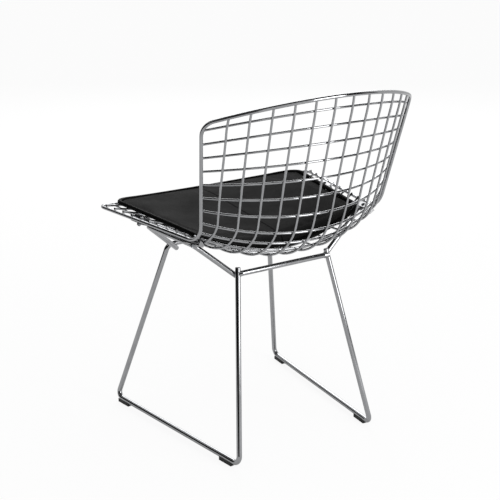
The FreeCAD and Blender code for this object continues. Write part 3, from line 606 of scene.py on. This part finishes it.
    def cover(self) -> bpy.types.Object:
        """Make the filled cover.

        Returns:
            The finished piece.
        """
        up = self.upward()
        piece = self.filled_body()
        self.settle(piece, up, self.slimming)
        self.swell(piece, up)
        self.subdivide(piece)
        self.settle(piece, up, self.deepest)
        self.finish_skin(piece, up)
        piece.vertex_groups.clear()
        piece.data.materials.clear()
        piece.data.materials.append(PAD_LEATHERETTE.material())
        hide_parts("pad_cover")
        return piece

    def welt(self) -> bpy.types.Object:
        """Make the welt: its cord wrapped in stretched leatherette.

        Returns:
            The finished piece.
        """
        piece, work = merged_copy("pad_welt", "leatherette_welt")
        close_work(piece, work)
        piece.data.materials.clear()
        piece.data.materials.append(WELT_LEATHERETTE.material())
        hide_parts("pad_welt")
        return piece

    def build(self) -> None:
        """Make the pad's soft pieces and dress its board."""
        dress(["pad_board"], ABS_BOARD.material())
        for piece, fill in ((self.cover(), 0.6), (self.welt(), 0.9)):
            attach(piece, Body.PAD.value)
            LOG.info("pad: %s, %d faces", piece.name, len(piece.data.polygons))


@dataclass(frozen=True)
class Card:
    """An upright dark card that only the chrome sees, as a studio hangs for metal.

    Its azimuth is 0 on -Y and 90 on +X, in degrees.
    """

    name: str
    azimuth: float
    distance: float
    width: float
    bottom: float
    top: float
    tone: str


@dataclass(frozen=True)
class SoftBox:
    """A soft box that faces the chair, placed as a card is."""

    name: str
    azimuth: float
    distance: float
    height: float
    width: float
    length: float
    watts: float


@dataclass
class Studio:
    """A pale floor and surround, soft boxes, dark cards for the chrome, and the camera."""

    camera_place: tuple[float, float, float] = (1.3185, 1.9167, 1.1426)
    camera_turn: tuple[float, float, float] = (71.987, 0.0, 146.043)
    focal_length: float = 83.894
    floor_half: float = 30.0
    floor_white_to_lens: float = 0.85
    white_to_metal: float = 0.12
    world_light: float = 0.62
    ceiling_height: float = 3.0
    ceiling_side: float = 5.6
    ceiling_tone: str = "#484848"
    cards: tuple[Card, ...] = (
        Card("card_front_left", 58, 3.2, 4.4, 0.0, 2.7, "#141414"),
        Card("card_behind_the_lens", 122, 3.2, 4.2, 0.0, 2.7, "#141414"),
        Card("card_rear_right", 229, 2.7, 1.2, 0.1, 2.8, "#141414"),
    )
    boxes: tuple[SoftBox, ...] = (
        SoftBox("main_box", 326, 3.4, 1.9, 2.2, 1.6, 34),
        SoftBox("rear_box", 202, 3.0, 1.1, 1.1, 1.7, 32),
    )

    def white_share(self, tree: bpy.types.NodeTree, to_lens: float) -> bpy.types.NodeSocket:
        """How much plain white a ray meets: from the lens, or by way of metal or glass.

        Args:
            tree: The node tree.
            to_lens: The share for rays from the lens.

        Returns:
            The share, 0 for rays that only carry light.
        """
        rays = add_node(tree, "ShaderNodeLightPath").outputs
        mirrored = add_node(tree, "ShaderNodeMath", {"operation": "MAXIMUM"},
                            {0: rays["Is Glossy Ray"], 1: rays["Is Transmission Ray"]})
        dimmed = add_node(tree, "ShaderNodeMath",
                          {"operation": "MULTIPLY", 1: self.white_to_metal},
                          {0: mirrored.outputs["Value"]})
        return add_node(tree, "ShaderNodeMath", {"operation": "MULTIPLY_ADD", 1: to_lens},
                        {0: rays["Is Camera Ray"],
                         2: dimmed.outputs["Value"]}).outputs["Value"]

    def staged_grid(self, name: str, width: float, height: float, place: Matrix,
                    material: bpy.types.Material) -> bpy.types.Object:
        """Make a flat stage piece, which is no part of the chair.

        Args:
            name: Its name.
            width: Its width.
            height: Its height.
            place: Where it stands.
            material: Its material.

        Returns:
            The new object.
        """
        piece = bpy.data.objects.new(name, bpy.data.meshes.new(name))
        bpy.context.scene.collection.objects.link(piece)
        work = bmesh.new()
        bmesh.ops.create_grid(work, x_segments=1, y_segments=1, size=0.5)
        bmesh.ops.scale(work, vec=(width, height, 1), verts=work.verts)
        bmesh.ops.transform(work, matrix=place, verts=work.verts)
        close_work(piece, work)
        piece.data.materials.append(material)
        return piece

    def floor(self) -> None:
        """Lay the pale floor, which keeps a faint shadow."""
        material, tree, shader = new_material("matte_white_floor")
        shader.inputs["Base Color"].default_value = linear("#e6e6e6")
        shader.inputs["Roughness"].default_value = 0.9
        shader.inputs["Specular IOR Level"].default_value = 0.0
        glow = add_node(tree, "ShaderNodeEmission",
                        {"Color": (1.0, 1.0, 1.0, 1.0), "Strength": 1.05})
        mixed = add_node(tree, "ShaderNodeMixShader",
                         links={0: self.white_share(tree, self.floor_white_to_lens),
                                1: shader.outputs["BSDF"], 2: glow.outputs["Emission"]})
        output = next(node for node in tree.nodes if node.type == "OUTPUT_MATERIAL")
        tree.links.new(mixed.outputs["Shader"], output.inputs["Surface"])
        side = 2 * self.floor_half
        self.staged_grid("studio_floor", side, side, Matrix(), material)

    def surround(self) -> None:
        """Give an even pale surround, plain white to the lens."""
        world = bpy.data.worlds.new("white_surround")
        bpy.context.scene.world = world
        world.use_nodes = True
        tree = world.node_tree
        plain = tree.nodes["Background"]
        plain.inputs["Color"].default_value = (1.0, 1.0, 1.0, 1.0)
        plain.inputs["Strength"].default_value = self.world_light
        white = add_node(tree, "ShaderNodeBackground",
                         {"Color": (1.0, 1.0, 1.0, 1.0), "Strength": 1.0})
        mixed = add_node(tree, "ShaderNodeMixShader",
                         links={0: self.white_share(tree, 1.0),
                                1: plain.outputs["Background"], 2: white.outputs["Background"]})
        output = next(node for node in tree.nodes if node.type == "OUTPUT_WORLD")
        tree.links.new(mixed.outputs["Shader"], output.inputs["Surface"])

    def dark_cloth(self, tone: str) -> bpy.types.Material:
        """Make the cards' cloth, the same tone from everywhere.

        Args:
            tone: Its sRGB colour.

        Returns:
            The material.
        """
        material, tree, shader = new_material("card_cloth")
        tree.nodes.remove(shader)
        glow = add_node(tree, "ShaderNodeEmission", {"Color": linear(tone), "Strength": 1.0})
        output = next(node for node in tree.nodes if node.type == "OUTPUT_MATERIAL")
        tree.links.new(glow.outputs["Emission"], output.inputs["Surface"])
        return material

    def hang_cards(self) -> None:
        """Hang the ceiling card and the upright cards."""
        hung = [self.staged_grid("ceiling_card", self.ceiling_side, self.ceiling_side,
                                 Matrix.Translation((0, 0, self.ceiling_height)),
                                 self.dark_cloth(self.ceiling_tone))]
        for card in self.cards:
            turn = Matrix.Rotation(math.radians(card.azimuth), 4, "Z")
            stand = Matrix.Translation((0, -card.distance, (card.bottom + card.top) / 2))
            upright = Matrix.Rotation(math.radians(90), 4, "X")
            hung.append(self.staged_grid(card.name, card.width, card.top - card.bottom,
                                         turn @ stand @ upright, self.dark_cloth(card.tone)))
        for piece in hung:
            piece.visible_camera = False
            piece.visible_diffuse = False
            piece.visible_shadow = False
            piece.visible_transmission = False

    def hang_boxes(self) -> None:
        """Hang the soft boxes."""
        for box in self.boxes:
            light = bpy.data.lights.new(box.name, "AREA")
            light.shape = "RECTANGLE"
            light.size = box.width
            light.size_y = box.length
            light.energy = box.watts
            lamp = bpy.data.objects.new(box.name, light)
            turn = math.radians(box.azimuth)
            lamp.location = (math.sin(turn) * box.distance, -math.cos(turn) * box.distance,
                             box.height)
            toward = Vector((0, 0, 0.4)) - lamp.location
            lamp.rotation_euler = toward.to_track_quat("-Z", "Y").to_euler()
            bpy.context.scene.collection.objects.link(lamp)

    def camera(self) -> None:
        """Set the camera at the photograph's place and angle."""
        lens = bpy.data.cameras.new("photograph_camera")
        lens.sensor_width = 36.0
        lens.lens = self.focal_length
        lens.clip_end = 200.0
        camera = bpy.data.objects.new("photograph_camera", lens)
        camera.location = self.camera_place
        camera.rotation_euler = [math.radians(angle) for angle in self.camera_turn]
        bpy.context.scene.collection.objects.link(camera)
        bpy.context.scene.camera = camera

    def build(self) -> None:
        """Set up the floor, surround, cards, soft boxes and camera."""
        bpy.context.scene.view_settings.view_transform = "Standard"
        self.floor()
        self.surround()
        self.hang_cards()
        self.hang_boxes()
        self.camera()
        LOG.info("studio: %d cards and %d soft boxes", len(self.cards) + 1, len(self.boxes))


def main() -> None:
    """Build the chair's looks and its studio."""
    logging.basicConfig(level=logging.INFO, format="%(name)s: %(message)s")
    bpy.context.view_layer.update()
    for assembly in (WireShell(), SledBase(), SaddleClamps(), SeatPad(), Studio()):
        assembly.build()


if __name__ == "__main__":
    main()
